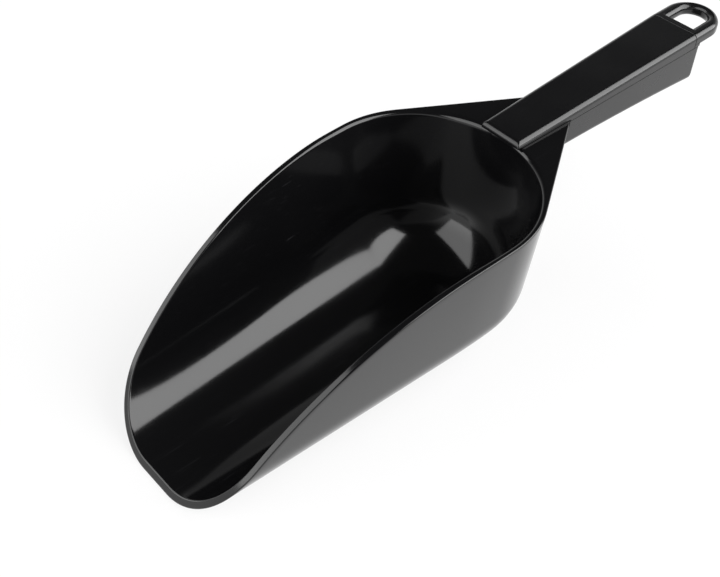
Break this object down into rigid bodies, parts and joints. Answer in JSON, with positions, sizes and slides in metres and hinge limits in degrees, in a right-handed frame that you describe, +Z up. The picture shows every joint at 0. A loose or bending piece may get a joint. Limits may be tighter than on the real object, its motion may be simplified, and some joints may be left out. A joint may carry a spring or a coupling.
{
  "type": "ice scoop",
  "caption": "Deep round-bottomed ice scoop in black moulded plastic, with a mouth cut on a curve, a flat flange, a covered handle and a D-shaped hang loop.",
  "frame": {"origin": "centre of the bounding box's bottom face, on the plane of the bowl's flat base", "axes": "+Z up out of the bowl, +Y along the handle towards the hang loop, the mouth towards -Y, +X across the scoop"},
  "size_m": [0.0916, 0.2998, 0.0721],
  "materials": {
    "bowl_plastic": "black polycarbonate, moulded glossy",
    "grip_plastic": "black plastic, moulded semi-gloss",
    "cover_plastic": "black plastic, fine satin texture",
    "loop_plastic": "black plastic, moulded semi-gloss"
  },
  "bodies": {
    "root": {"bowl": "bowl_plastic", "grip_shell": "grip_plastic", "handle_cover": "cover_plastic", "hang_loop": "loop_plastic"}
  },
  "joints": []
}
